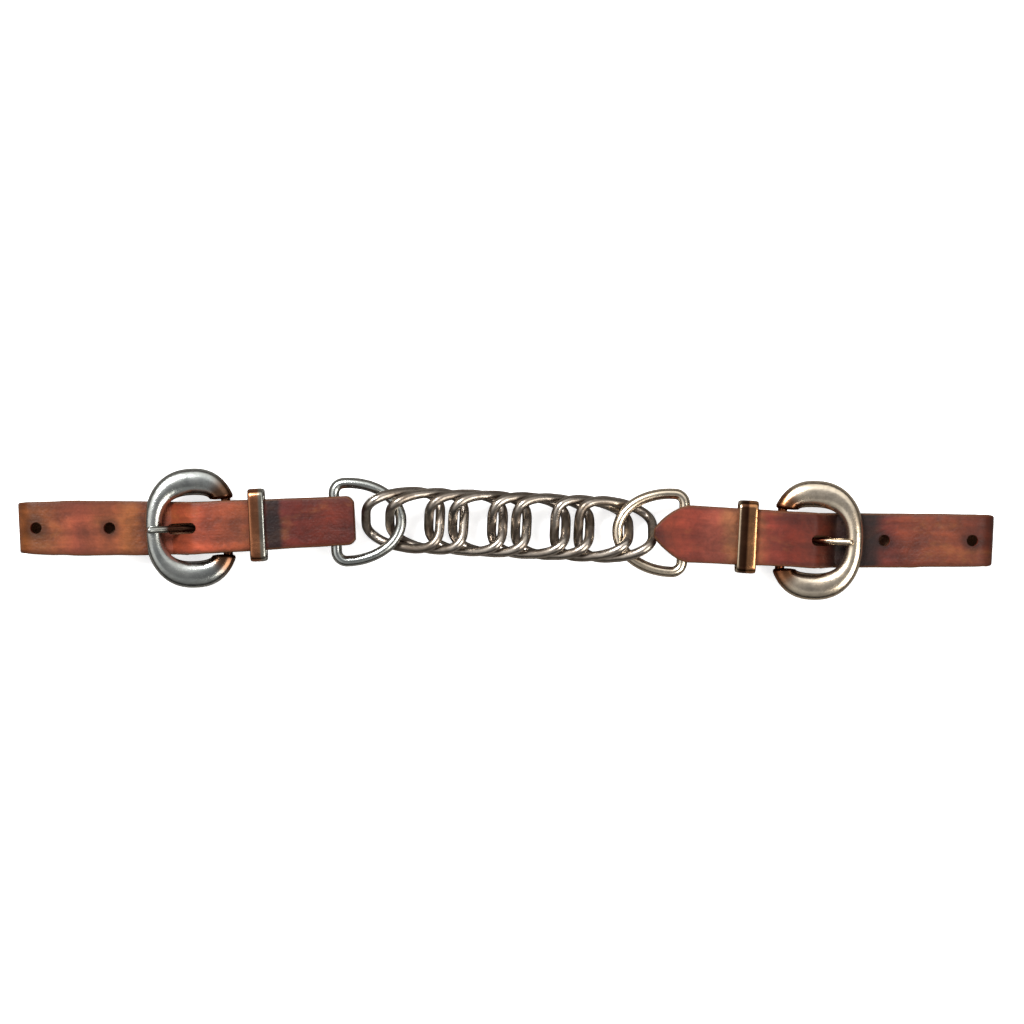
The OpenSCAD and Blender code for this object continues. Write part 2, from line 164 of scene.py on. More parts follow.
def skin(rings, closed=False):
    """Vertices and faces of a surface through equal rings of points, capped at both ends unless closed."""
    n, m = len(rings), len(rings[0])
    faces = []
    for i in range(n if closed else n - 1):
        for j in range(m):
            k, q = (i + 1) % n, (j + 1) % m
            faces.append((i * m + j, i * m + q, k * m + q, k * m + j))
    if not closed:
        faces.append(tuple(range(m - 1, -1, -1)))
        faces.append(tuple((n - 1) * m + j for j in range(m)))
    return [p for ring in rings for p in ring], faces


def wire(line, radius, sides, closed=False, up=Z_UP):
    """A wire along a line, upright towards up.

    radius may be a function of how far along the line, from 0 to 1, and up a function of the point's number.
    """
    n = len(line)
    rings = []
    for i, p in enumerate(line):
        ahead = line[(i + 1) % n] if closed else line[min(i + 1, n - 1)]
        behind = line[i - 1] if closed else line[max(i - 1, 0)]
        tangent = (ahead - behind).normalized()
        upward = up(i) if callable(up) else up
        side = tangent.cross(upward).normalized()
        top = side.cross(tangent)
        r = radius(i / (n - 1)) if callable(radius) else radius
        angles = [math.tau * k / sides for k in range(sides)]
        rings.append([p + r * (math.cos(a) * side + math.sin(a) * top) for a in angles])
    return skin(rings, closed)


def joined(*parts):
    """Several (vertices, faces) pairs as one."""
    verts, faces = [], []
    for part_verts, part_faces in parts:
        start = len(verts)
        verts += part_verts
        faces += [tuple(start + i for i in f) for f in part_faces]
    return verts, faces


def add_uv(mesh, name, values):
    """A UV map with one pair of numbers for each vertex."""
    layer = mesh.uv_layers.new(name=name)
    for loop in mesh.loops:
        layer.data[loop.index].uv = values[loop.vertex_index]


def add_run_uv(mesh, values):
    """A UV map that says how far along its piece each vertex is."""
    add_uv(mesh, "run", [(value, 0.5) for value in values])


def make_mesh(name, shape, place, sharp=40):
    """A smooth mesh, in metres, with edges of more than sharp degrees left hard."""
    mesh = bpy.data.meshes.new(name)
    mesh.from_pydata([place @ Vector(p) for p in shape[0]], [], shape[1])
    bm = bmesh.new()
    bm.from_mesh(mesh)
    bmesh.ops.recalc_face_normals(bm, faces=bm.faces)
    bm.to_mesh(mesh)
    bm.free()
    mesh.shade_smooth()
    mesh.set_sharp_from_angle(angle=math.radians(sharp))
    return mesh


def add_piece(name, node, mesh, material):
    """Puts a mesh in the scene in place of a CAD node, on the node's own body."""
    piece = bpy.data.objects.new(name, mesh)
    bpy.context.scene.collection.objects.link(piece)
    mesh.materials.clear()
    mesh.materials.append(material)
    body = next(b for b, members in frame["record"]["behaviour"]["bodies"].items() if node in members)
    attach(piece, body)
    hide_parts(node)
    return piece


# Material helpers
class Graph:
    """A short way to write a node tree."""

    def __init__(self, tree):
        self.tree = tree
        tree.nodes.clear()

    def add(self, kind, inputs=(), **settings):
        node = self.tree.nodes.new(kind)
        for key, value in settings.items():
            setattr(node, key, value)
        for key, value in dict(inputs).items():
            self.set(node.inputs[key], value)
        return node

    def set(self, socket, value):
        if isinstance(value, bpy.types.NodeSocket):
            self.tree.links.new(value, socket)
        else:
            socket.default_value = value

    def math(self, operation, a, b=0.0):
        return self.add("ShaderNodeMath", {0: a, 1: b}, operation=operation).outputs[0]

    def vector_math(self, operation, a, b, output):
        return self.add("ShaderNodeVectorMath", {0: a, 1: b}, operation=operation).outputs[output]

    def parts(self, vector):
        return self.add("ShaderNodeSeparateXYZ", {0: vector}).outputs

    def uv(self, name):
        return self.add("ShaderNodeUVMap", uv_map=name).outputs[0]

    def ramp(self, factor, stops):
        node = self.add("ShaderNodeValToRGB", {"Fac": factor})
        node.color_ramp.interpolation = "EASE"
        elements = node.color_ramp.elements
        while len(elements) < len(stops):
            elements.new(0.5)
        for element, (position, colour) in zip(elements, stops):
            element.position = position
            element.color = (*colour, 1)
        return node.outputs["Color"]

    def noise(self, vector, scale, detail=3.0, rough=0.5, distortion=0.0):
        inputs = {
            "Vector": vector, "Scale": scale, "Detail": detail, "Roughness": rough, "Distortion": distortion,
        }
        return self.add("ShaderNodeTexNoise", inputs).outputs["Fac"]

    def span(self, value, low, high, out_low, out_high, curve="SMOOTHSTEP"):
        """The value from low to high, as one from out_low to out_high."""
        inputs = {0: value, 1: low, 2: high, 3: out_low, 4: out_high}
        return self.add("ShaderNodeMapRange", inputs, interpolation_type=curve).outputs[0]

    def mix(self, factor, a, b, blend="MIX"):
        node = self.add("ShaderNodeMix", data_type="RGBA", blend_type=blend)
        self.set(node.inputs["Factor"], factor)
        for key, value in ((6, a), (7, b)):
            if isinstance(value, tuple) and len(value) == 3:
                value = (*value, 1)
            self.set(node.inputs[key], value)
        return node.outputs[2]

    def stretched(self, vector, scale):
        return self.add("ShaderNodeMapping", {"Vector": vector, "Scale": scale}).outputs[0]

    def shaded(self, colour, value):
        """The colour made darker or lighter by a number."""
        grey = self.add("ShaderNodeCombineColor", {0: value, 1: value, 2: value}).outputs[0]
        return self.mix(1.0, colour, grey, "MULTIPLY")


def new_material(name):
    material = bpy.data.materials.new(name)
    material.use_nodes = True
    return material, Graph(material.node_tree)


def surface(graph, shader, normal=None):
    if normal is not None:
        graph.set(shader.inputs["Normal"], normal)
    out = graph.add("ShaderNodeOutputMaterial")
    graph.set(out.inputs["Surface"], shader.outputs[0])


def linear(red, green, blue):
    """A colour given as it looks on a screen, from 0 to 255, as linear light."""
    return tuple((c / 255) ** 2.2 for c in (red, green, blue))


def bump(graph, *layers):
    """One bump on another. Each layer is a height from 0 to 1 and its size in metres."""
    normal = None
    for height, size in layers:
        inputs = {"Height": height, "Distance": size, "Strength": 1.0}
        if normal is not None:
            inputs["Normal"] = normal
        normal = graph.add("ShaderNodeBump", inputs).outputs[0]
    return normal


# The unit of the strip's UV map in millimetres, and the stretch along the strip that its tones and painted
# shade cover
UV_UNIT = 100
TONES_FROM, TONES_TO = -12.0, 90.0
TAN, WORN_EDGE, RAW_BACK = linear(136, 84, 44), linear(72, 34, 22), linear(112, 76, 52)
HOLE_SHADE_FROM, HOLE_SHADE_TO, HOLE_SHADE = 0.013, 0.042, 0.42


def leather(name, tones_and_shade, seed, holes, painted_shadow_band):
    """Worn oiled leather. tones are (distance from the D-ring's bar in millimetres, colour) stops, with
    painted shade in them.

    painted_shadow_band is a painted shadow cast across the strip beside the metal: its two ends, how soft
    they are, and its shade.
    """
    material, g = new_material(name)
    strip = g.uv("strip")
    to_edge, back, _ = g.parts(g.uv("edge"))
    along = g.parts(strip)[0]
    moved = g.vector_math("ADD", strip, (seed, seed, 0), 0)

    blotch = g.noise(moved, 9, 4, 0.6, 0.6)
    fine = g.noise(moved, 60, 5, 0.65)
    band = g.noise(g.stretched(moved, (2.5, 24, 1)), 1.0, 2, 0.5, 0.5)
    mottle = g.noise(moved, 26, 4, 0.6, 0.8)
    thin_streak = g.noise(g.stretched(moved, (12, 240, 1)), 1.0, 3, 0.6)
    # the strap's tone along its length, with painted shade and painted highlight in it
    place = g.span(along, TONES_FROM / UV_UNIT, TONES_TO / UV_UNIT, 0.0, 1.0, "LINEAR")
    shifted = g.math("ADD", place, g.span(blotch, 0.3, 0.7, -0.012, 0.012))
    colour = g.ramp(shifted, [((u - TONES_FROM) / (TONES_TO - TONES_FROM), tone) for u, tone in tones_and_shade])

    # each pattern from one value to another, and the shades it gives there
    for pattern, low, high, dark, light in (
        (blotch, 0.32, 0.68, 0.72, 1.24),
        (band, 0.34, 0.66, 0.74, 1.24),
        (mottle, 0.34, 0.66, 0.86, 1.12),
        (thin_streak, 0.35, 0.65, 0.96, 1.04),
        (fine, 0.3, 0.7, 0.9, 1.08),
    ):
        colour = g.shaded(colour, g.span(pattern, low, high, dark, light))
    tan_patch = g.noise(g.stretched(moved, (6, 10, 1)), 1.0, 4, 0.7)
    colour = g.mix(g.span(tan_patch, 0.52, 0.70, 0.0, 0.34), colour, TAN)

    worn = g.math("ADD", to_edge, g.span(mottle, 0.3, 0.7, -0.06, 0.06))
    colour = g.mix(g.span(worn, 0.80, 1.0, 0.0, 0.72), colour, WORN_EDGE)
    for u in holes:
        reach = g.vector_math("DISTANCE", strip, (u / UV_UNIT, 0, 0), 1)
        reach = g.math("ADD", reach, g.span(blotch, 0.3, 0.7, -0.004, 0.004))
        colour = g.shaded(colour, g.span(reach, HOLE_SHADE_FROM, HOLE_SHADE_TO, HOLE_SHADE, 1.0))
    # a painted shadow across the strip, beside the metal
    shadow_from, shadow_to, soft, shade = painted_shadow_band
    shadow_middle, half_shadow = (shadow_from + shadow_to) / 2, (shadow_to - shadow_from) / 2
    off_shadow = g.math("ABSOLUTE", g.math("SUBTRACT", along, shadow_middle / UV_UNIT))
    off_shadow = g.math("ADD", off_shadow, g.span(blotch, 0.3, 0.7, -0.003, 0.003))
    full, clear = (half_shadow - soft) / UV_UNIT, (half_shadow + soft) / UV_UNIT
    colour = g.shaded(colour, g.span(off_shadow, full, clear, shade, 1.0))
    colour = g.mix(back, colour, RAW_BACK)

    cells = g.add("ShaderNodeTexVoronoi", {"Vector": moved, "Scale": 130.0, "Randomness": 1.0})
    pores = g.math("SUBTRACT", 1.0, cells.outputs["Distance"])
    height = bump(
        g, (blotch, 0.00035), (mottle, 0.00014), (thin_streak, 0.00004), (pores, 0.00005), (fine, 0.00009)
    )
    shader = g.add(
        "ShaderNodeBsdfPrincipled",
        {"Base Color": colour, "Roughness": g.span(blotch, 0.3, 0.7, 0.46, 0.62), "Specular IOR Level": 0.28},
    )
    surface(g, shader, height)
    return material


def metal(name, light, dark, rough, tarnish=0.5, stops=None):
    """Plated wire or casting: patchy tarnish, fine scratches and uneven polish.

    rough is the least and the greatest roughness. stops are (position, tint) along the "run" UV map, where
    painted reflection and painted shade tint and darken the plate.
    """
    material, g = new_material(name)
    where = g.add("ShaderNodeTexCoord").outputs["Object"]
    patch = g.noise(where, 90, 4, 0.6, 0.5)
    fine = g.noise(where, 700, 3, 0.6)
    scratch = g.noise(g.stretched(where, (260, 2200, 900)), 1.0, 2, 0.5)
    colour = g.mix(g.span(patch, 0.42, 0.72, 0.0, tarnish), light, dark)
    # painted reflection and painted shade along the piece
    if stops:
        colour = g.mix(1.0, colour, g.ramp(g.parts(g.uv("run"))[0], stops), "MULTIPLY")
    colour = g.shaded(colour, g.span(fine, 0.3, 0.7, 0.9, 1.06))
    shader = g.add(
        "ShaderNodeBsdfPrincipled",
        {"Base Color": colour, "Metallic": 1.0, "Roughness": g.span(patch, 0.3, 0.7, *rough)},
    )
    surface(g, shader, bump(g, (patch, 0.00012), (scratch, 0.000012), (fine, 0.00002)))
    return material


def waxed_thread():
    material, g = new_material("waxed_thread")
    where = g.add("ShaderNodeTexCoord").outputs["Object"]
    twist = g.add(
        "ShaderNodeTexWave", {"Vector": where, "Scale": 900.0, "Distortion": 1.5}, bands_direction="DIAGONAL"
    ).outputs["Fac"]
    colour = g.mix(twist, linear(150, 128, 96), linear(214, 194, 158))
    shader = g.add("ShaderNodeBsdfPrincipled", {"Base Color": colour, "Roughness": 0.7})
    surface(g, shader, bump(g, (twist, 0.00008)))
    return material


# Colour stops along each strap: the leather's own tone, with painted shade beside the keepers and at the
# buckles and painted highlight where light falls
LEFT_TONES_AND_SHADE = (
    (-6, linear(66, 24, 15)), (2, linear(86, 32, 20)), (10, linear(82, 28, 19)),
    (15.6, linear(78, 30, 26)), (18.6, linear(72, 30, 28)), (23.5, linear(110, 56, 33)),
    (30, linear(130, 62, 39)), (36, linear(140, 63, 42)), (42, linear(136, 63, 42)),
    (50, linear(96, 48, 30)), (57, linear(130, 74, 40)), (63, linear(117, 61, 38)),
    (72, linear(114, 56, 40)), (82, linear(124, 70, 38)), (88, linear(138, 82, 48)),
)
RIGHT_TONES_AND_SHADE = (
    (-9, linear(84, 34, 26)), (-4, linear(108, 46, 31)), (3, linear(106, 44, 32)), (9, linear(124, 60, 46)),
    (13, linear(124, 76, 50)), (20, linear(118, 68, 43)), (24, linear(108, 44, 33)), (29, linear(86, 30, 18)),
    (37, linear(84, 34, 21)), (44, linear(74, 32, 23)), (52, linear(72, 34, 27)), (57, linear(88, 36, 27)),
    (62, linear(102, 46, 29)), (72, linear(101, 49, 31)), (80, linear(94, 43, 29)),
    (84.5, linear(74, 38, 29)),
)


# The straps
def ease(p, q, n):
    """Points strictly between p and q on a smooth step."""
    return [
        Vector((p[0] + (q[0] - p[0]) * i / n, p[1] + (q[1] - p[1]) * smooth_step(i / n))) for i in range(1, n)
    ]


def arc(centre, radius, start, end, n):
    angles = [math.radians(start + (end - start) * i / n) for i in range(n + 1)]
    return [Vector((centre[0] + radius * math.cos(a), centre[1] + radius * math.sin(a))) for a in angles]


def straight(p, q, n):
    """Points strictly between p and q on a straight line."""
    return [Vector(p).lerp(Vector(q), i / n) for i in range(1, n)]


def strip_line(side):
    """Side view of the strip's middle line, from its hidden tab end to its tip."""
    low = Vector((side.bar_u - TAB_FOLD, side.tab_z - LEATHER_T - LAYER_GAP))
    fold_u = side.reach - LOOP_R - HALF_T
    run = (RUN_RISE, HALF_T)
    loop_top = (fold_u, HALF_T + 2 * LOOP_R)
    under = (side.bar_u + UNDER_END, UNDER_Z)
    dip = (side.bar_u + DIP_END, UNDER_Z)
    rise = (side.bar_u + DIP_START, side.billet_z)
    tip_at = (TIP_FROM, side.billet_z)
    tip_span = TIP_FROM + side.tip
    tip_steps = 14
    tip = [
        Vector((TIP_FROM - tip_span * i / tip_steps, side.billet_z + TIP_LIFT * (i / tip_steps) ** 2))
        for i in range(1, tip_steps + 1)
    ]
    return [
        low,
        *ease(low, (side.bar_u, side.bar_z - HEEL_FOLD_R), 10),
        *arc((side.bar_u, side.bar_z), HEEL_FOLD_R, -90, 90, 20),
        *ease((side.bar_u, side.tab_z), (0, side.chain_z + D_FOLD_R), 14),
        *arc((0, side.chain_z), D_FOLD_R, 90, 270, 20),
        *ease((0, side.chain_z - D_FOLD_R), run, 10),
        Vector(run),
        *straight(run, (fold_u, HALF_T), 24),
        *arc((fold_u, HALF_T + LOOP_R), LOOP_R, -90, 90, 24),
        *ease(loop_top, under, 26),
        Vector(under),
        *straight(under, dip, 6),
        Vector(dip),
        *ease(dip, rise, 20),
        Vector(rise),
        *straight(rise, tip_at, 22),
        Vector(tip_at),
        *tip,
    ]


STRIP_CORNER, STRIP_ACROSS, STRIP_ROUND = 0.62, 10, 3


def section(half_w, half_t):
    """A strip's section with round corners: points (y, height, back), anticlockwise from the lower left.

    back is 0 on the smooth face, 1 on the raw one and half way between on the edges.
    """
    corner = min(STRIP_CORNER, half_t * 0.9)
    flat, lift = half_w - corner, half_t - corner
    points = []
    for sign, back in ((1, 0.0), (-1, 1.0)):
        for i in range(STRIP_ACROSS + 1):
            points.append((sign * (2 * flat * i / STRIP_ACROSS - flat), -sign * half_t, back))
        for turn in range(1, 2 * STRIP_ROUND):
            a = math.radians(90 * turn / STRIP_ROUND - 90)
            height = corner * math.sin(a) + lift * ((a > 0) - (a < 0))
            points.append((sign * (flat + corner * math.cos(a)), sign * height, 0.5))
    return points


def strap_mesh(side):
    """The strip before anything is punched out of it."""
    line = strip_line(side)
    last = len(line) - 1
    billet_from = next(i for i, p in enumerate(line) if i > last // 2 and p.y >= side.billet_z - 1e-6)
    rings, strip_uv, edge_uv = [], [], []
    for i, p in enumerate(line):
        tangent = (line[min(i + 1, last)] - line[max(i - 1, 0)]).normalized()
        normal = Vector((-tangent.y, tangent.x))
        half_w = (side.width(p.x) if i >= billet_from else side.fold_width(p.x)) / 2 - TRIM_W
        if i >= billet_from and p.x < side.taper - side.tip:
            t = (p.x + side.tip) / side.taper
            half_w = side.tip_half + (half_w - side.tip_half) * math.sin(math.pi / 2 * max(t, 0))
        half_t = HALF_T - TRIM_T
        from_end = min(i, last - i)
        if from_end < len(END_TRIM):
            half_t *= END_THICKNESS[from_end]
            half_w -= END_TRIM[from_end]
        middle = side.middle(p.x)
        ring = []
        for y, height, back in section(half_w, half_t):
            rim = wobble(p.x * 0.11, y * 0.05, side.seed + p.y, size=RIM_WAVE) * abs(y) / half_w
            dent = wobble(p.x * 0.16, y * 0.2, side.seed * 2, size=DENT) * (height / half_t)
            at = p + normal * (height - abs(dent))
            ring.append(Vector((at.x, middle + y + min(rim, TRIM_W), at.y)))
            strip_uv.append((p.x / UV_UNIT, y / UV_UNIT))
            edge_uv.append((abs(y) / half_w, back))
        rings.append(ring)
    mesh = make_mesh(f"{side.name}_leather", skin(rings), side.place, sharp=50)
    add_uv(mesh, "strip", strip_uv)
    add_uv(mesh, "edge", edge_uv)
    return mesh


def prism(outline, low, high):
    """An upright prism on a plan outline."""
    return skin([[Vector((x, y, low)) for x, y in outline], [Vector((x, y, high)) for x, y in outline]])


def strap_cutters(side):
    """What is punched out of the strip: the tongue's slot and its room in the heel fold, and the holes."""
    low, high = LEATHER_T + 1, side.billet_z + 5
    half_slot = SLOT_W / 2
    slot_from, slot_to = (side.bar_u + at for at in side.slot)
    slot_from, slot_to = slot_from + half_slot, slot_to - half_slot
    turns = [math.pi * i / 10 for i in range(11)]
    slot = [(slot_to + half_slot * math.sin(a), half_slot * -math.cos(a)) for a in turns]
    slot += [(slot_from - half_slot * math.sin(a), half_slot * math.cos(a)) for a in turns]
    parts = [prism(slot, low, high)]
    angles = [math.tau * i / 32 for i in range(32)]
    for u in side.holes:
        hole = [(u + HOLE_R * math.cos(a), side.middle(u) + HOLE_R * math.sin(a)) for a in angles]
        parts.append(prism(hole, low, high))
    room = [(side.bar_u + x * EYE_ROOM_LEN / 2, y * EYE_ROOM_W / 2) for x, y in CORNERS]
    fold_high = HEEL_FOLD_R + HALF_T + 0.02
    parts.append(prism(room, side.bar_z - fold_high, side.bar_z + fold_high))
    return joined(*parts)


def cut(mesh, cutter_shape, place, name):
    """The mesh with the cutter taken away."""
    scene = bpy.context.scene
    body = bpy.data.objects.new(name, mesh)
    cutter = bpy.data.objects.new(name + "_cutter", make_mesh(name + "_cutter", cutter_shape, place))
    scene.collection.objects.link(body)
    scene.collection.objects.link(cutter)
    boolean = body.modifiers.new("cut", "BOOLEAN")
    boolean.operation = "DIFFERENCE"
    boolean.solver = "EXACT"
    boolean.object = cutter
    bpy.context.view_layer.update()
    evaluated = body.evaluated_get(bpy.context.evaluated_depsgraph_get())
    result = bpy.data.meshes.new_from_object(evaluated)
    bpy.data.objects.remove(body)
    bpy.data.objects.remove(cutter)
    result.name = name
    result.shade_smooth()
    result.set_sharp_from_angle(angle=math.radians(42))
    return result


def add_strap(side, material):
    mesh = cut(strap_mesh(side), strap_cutters(side), side.place, f"{side.name}_strap_leather")
    add_piece(f"{side.name}_strap_leather", f"{side.name}_strap", mesh, material)


STITCHES, STITCH_BACK, STITCH_PITCH = 4, 3.6, 3.4
STITCH_HALF_LEN, STITCH_R, STITCH_SINK = 1.2, 0.38, 0.4
STITCH_POINTS = (0.08, 0.3, 0.5, 0.7, 0.92)


def add_stitching(side, material):
    """Waxed stitches through the two layers behind the heel bar, sunk a little into the upper one."""
    low_from, low_to = side.bar_z - HEEL_FOLD_R, side.tab_z - LEATHER_T - LAYER_GAP
    low = low_from + (low_to - low_from) * smooth_step(STITCH_BACK / TAB_FOLD) - HALF_T
    high = side.tab_z + HALF_T - STITCH_SINK
    half = STITCH_HALF_LEN - STITCH_R
    corners = [Vector(corner) for corner in ((-half, low), (half, low), (half, high), (-half, high))]
    loop = [p.lerp(q, s) for p, q in zip(corners, corners[1:] + corners[:1]) for s in STITCH_POINTS]
    parts = []
    for k in range(STITCHES):
        y = (k - (STITCHES - 1) / 2) * STITCH_PITCH
        line = [Vector((side.bar_u - STITCH_BACK, y + p.x, p.y)) for p in loop]
        parts.append(wire(line, STITCH_R, sides=10, closed=True, up=Vector((1, 0, 0))))
    mesh = make_mesh(f"{side.name}_stitches", joined(*parts), side.place)
    add_piece(f"{side.name}_stitches", f"{side.name}_stitching", mesh, material)


# The metal pieces
FRAME_MID, FRAME_OUT, FRAME_IN = 9.0, 13.7, 8.9
FRAME_OUT_POWER, FRAME_IN_POWER = 2.3, 2.6
FRAME_HALF_W, FRAME_OPEN_HALF = 16.5, 9.1
FRAME_HEEL_OUT, FRAME_FOOT_LEN = 12.4, 4.6
FRAME_LOW, FRAME_HIGH, FRAME_TILT = 1.3, 2.1, 5
FRAME_SECTION_POWER = 0.94
FOOT_ROUND_FROM, FOOT_SHRINK = 0.93, 0.4
HEEL_BAR_BITE = 0.5


def rounded_point(angle, half_len, half_w, power):
    """A point of a rounded outline: an ellipse if power is 2, squarer if it is more."""
    c, s = math.cos(math.radians(angle)), math.sin(math.radians(angle))
    return Vector((half_len * signed_power(c, 2 / power), half_w * signed_power(s, 2 / power)))


def frame_ring(side, turn):
    """The domed frame's section. turn runs from -1 to 1 between the two feet that hold the heel bar."""
    # the outline's angle at which a foot comes down to the strap's edge
    end = 180 - math.degrees(math.asin((side.foot / FRAME_HALF_W) ** (FRAME_OUT_POWER / 2)))
    angle = end * turn
    heel = max(0.0, (abs(angle) - 90) / (end - 90))
    if heel == 0:
        outer = rounded_point(angle, FRAME_OUT, FRAME_HALF_W, FRAME_OUT_POWER)
        inner = rounded_point(angle, FRAME_IN, FRAME_OPEN_HALF, FRAME_IN_POWER)
    else:
        outer = rounded_point(angle, FRAME_HEEL_OUT, FRAME_HALF_W, FRAME_OUT_POWER)
        half_open = FRAME_OPEN_HALF + (side.foot - FRAME_OPEN_HALF) * heel ** 2
        inner = Vector((-FRAME_FOOT_LEN * math.sin(math.pi / 2 * heel), math.copysign(half_open, angle)))
    # the last few sections shrink, so that the feet end round
    shrink = 1 - FOOT_SHRINK * max(0.0, (heel - FOOT_ROUND_FROM) / (1 - FOOT_ROUND_FROM)) ** 2
    centre = (inner + outer) / 2
    ring = []
    count = 32
    for i in range(count):
        a = math.tau * (i + 0.5) / count
        across = 0.5 + 0.5 * signed_power(math.cos(a), FRAME_SECTION_POWER)
        lift = signed_power(math.sin(a), FRAME_SECTION_POWER)
        z = lift * (FRAME_HIGH if lift > 0 else FRAME_LOW) * shrink
        p = centre + (inner.lerp(outer, across) - centre) * shrink
        ring.append(Vector((FRAME_MID + p.x, p.y, z)))
    return ring


def add_buckle_frame(side, material):
    """The cast frame with its heel bar."""
    steps = 130
    turns = [2 * i / steps - 1 for i in range(steps + 1)]
    rings = [frame_ring(side, turn) for turn in turns]
    half_bar = FRAME_OPEN_HALF + HEEL_BAR_BITE
    bar = wire([Vector((0, y * half_bar / 10, 0)) for y in range(-10, 11)], HEEL_BAR_R, sides=32)
    place = side.place @ Matrix.Translation((side.bar_u, 0, side.bar_z))
    place = place @ Matrix.Rotation(math.radians(-FRAME_TILT), 4, "Y")
    name = f"{side.name}_buckle_casting"
    mesh = make_mesh(name, joined(skin(rings), bar), place, sharp=55)
    add_run_uv(mesh, [abs(turn) for turn, ring in zip(turns, rings) for _ in ring] + [1.0] * len(bar[0]))
    add_piece(name, f"{side.name}_buckle_frame", mesh, material)


TONGUE_EYE_R, TONGUE_EYE_HALF_W, TONGUE_EYE_POWER = 3.0, 1.18, 0.7
TONGUE_R, TONGUE_BASE, TONGUE_START = 0.98, 1.1, 1.6
TONGUE_RISE, TONGUE_SAG = math.radians(12), 0.16


def add_tongue(side, material):
    """A wire tongue: an eye round the heel bar, and a shank that ends in a round tip."""
    eye_in = HEEL_BAR_R + FIT
    eye_middle, eye_half = (eye_in + TONGUE_EYE_R) / 2, (TONGUE_EYE_R - eye_in) / 2
    profile = [
        (
            eye_middle + eye_half * signed_power(math.cos(a), TONGUE_EYE_POWER),
            TONGUE_EYE_HALF_W * signed_power(math.sin(a), TONGUE_EYE_POWER),
        )
        for a in (math.tau * i / 16 for i in range(16))
    ]
    eye = skin([
        [Vector((q * math.cos(b), y, q * math.sin(b))) for q, y in profile]
        for b in (math.tau * k / 40 for k in range(40))
    ], closed=True)
    shank_len = side.tongue_len - TONGUE_START

    def reached(t):
        """The share of the shank that lies behind t. The points crowd towards the tip."""
        return 1 - (1 - t) ** 1.6

    def radius(t):
        from_tip = (1 - reached(t)) * shank_len
        if from_tip < TONGUE_R:
            return TONGUE_R * math.sqrt(max(1 - (1 - from_tip / TONGUE_R) ** 2, 0.0004))
        return TONGUE_R

    line = []
    steps = 40
    for t in (i / steps for i in range(steps + 1)):
        s = shank_len * reached(t)
        sag = TONGUE_SAG * math.sin(math.pi * t)
        line.append(Vector((
            TONGUE_START + s * math.cos(TONGUE_RISE), 0, TONGUE_BASE + s * math.sin(TONGUE_RISE) - sag,
        )))
    shape = joined(eye, wire(line, radius, sides=24))
    place = side.place @ Matrix.Translation((side.bar_u, 0, side.bar_z))
    mesh = make_mesh(f"{side.name}_tongue_wire", shape, place, sharp=60)
    add_run_uv(mesh, [max(p.x, 0) / side.tongue_len for p in shape[0]])
    add_piece(f"{side.name}_tongue_wire", f"{side.name}_buckle_tongue", mesh, material)


def add_keeper(side, material):
    """A flat metal band with round corners and eased edges."""
    width = side.keeper_w
    low = side.tab_z - HALF_T - KEEPER_SLACK_LOW
    high = side.billet_z + HALF_T + KEEPER_SLACK_HIGH
    mid_r = KEEPER_CORNER - KEEPER_T / 2
    flat_w, flat_h = (KEEPER_INNER_W + KEEPER_T) / 2 - mid_r, (high - low + KEEPER_T) / 2 - mid_r
    corners = [Vector((x * flat_w, y * flat_h)) for x, y in CORNERS[2:] + CORNERS[:2]]
    path = []
    for quarter, centre in enumerate(corners):
        for i in range(9):
            a = math.radians(90 * quarter + 90 * i / 8)
            outward = Vector((math.cos(a), math.sin(a)))
            path.append((centre + mid_r * outward, outward))
        following = corners[(quarter + 1) % 4]
        for i in range(1, 10):
            path.append((centre.lerp(following, i / 10) + mid_r * outward, outward))
    rings = []
    count = 20
    for p, outward in path:
        ring = []
        for i in range(count):
            a = math.tau * (i + 0.5) / count
            x = width / 2 * signed_power(math.cos(a), 0.45)
            h = KEEPER_T / 2 * signed_power(math.sin(a), 0.6)
            at = p + outward * h
            ring.append(Vector((side.keeper_u + width / 2 + x, at.x, (low + high) / 2 + at.y)))
        rings.append(ring)
    shape = skin(rings, closed=True)
    mesh = make_mesh(f"{side.name}_keeper_band", shape, side.place, sharp=60)
    add_run_uv(mesh, [(p.x - side.keeper_u) / width for p in shape[0]])
    add_piece(f"{side.name}_keeper_band", f"{side.name}_keeper", mesh, material)


def add_d_ring(side, material):
    """A wire ring with a straight bar, two round corners and a bow."""
    half = D_HEIGHT / 2
    corner = [
        Vector((-D_CORNER + D_CORNER * math.cos(a), half - D_CORNER + D_CORNER * math.sin(a)))
        for a in (math.radians(10 * i) for i in range(10))
    ]
    # the bow starts a little past the corner
    bow_u = D_CORNER + 0.4
    bow = [
        Vector((-bow_u - (D_DEPTH - bow_u) * math.sin(math.radians(a)), half * math.cos(math.radians(a))))
        for a in range(0, 181, 3)
    ]
    bar = [Vector((0, (half - D_CORNER) * y / 12)) for y in range(-11, 12)]
    plan = bar + corner + bow + [Vector((p.x, -p.y)) for p in reversed(corner)]
    line = [Vector((p.x, p.y, side.chain_z)) for p in plan]
    shape = wire(line, D_WIRE_R * D_PLUMP, sides=28, closed=True)
    mesh = make_mesh(f"{side.name}_d_ring_wire", shape, side.ring_place)
    add_piece(f"{side.name}_d_ring_wire", f"{side.name}_d_ring", mesh, material)


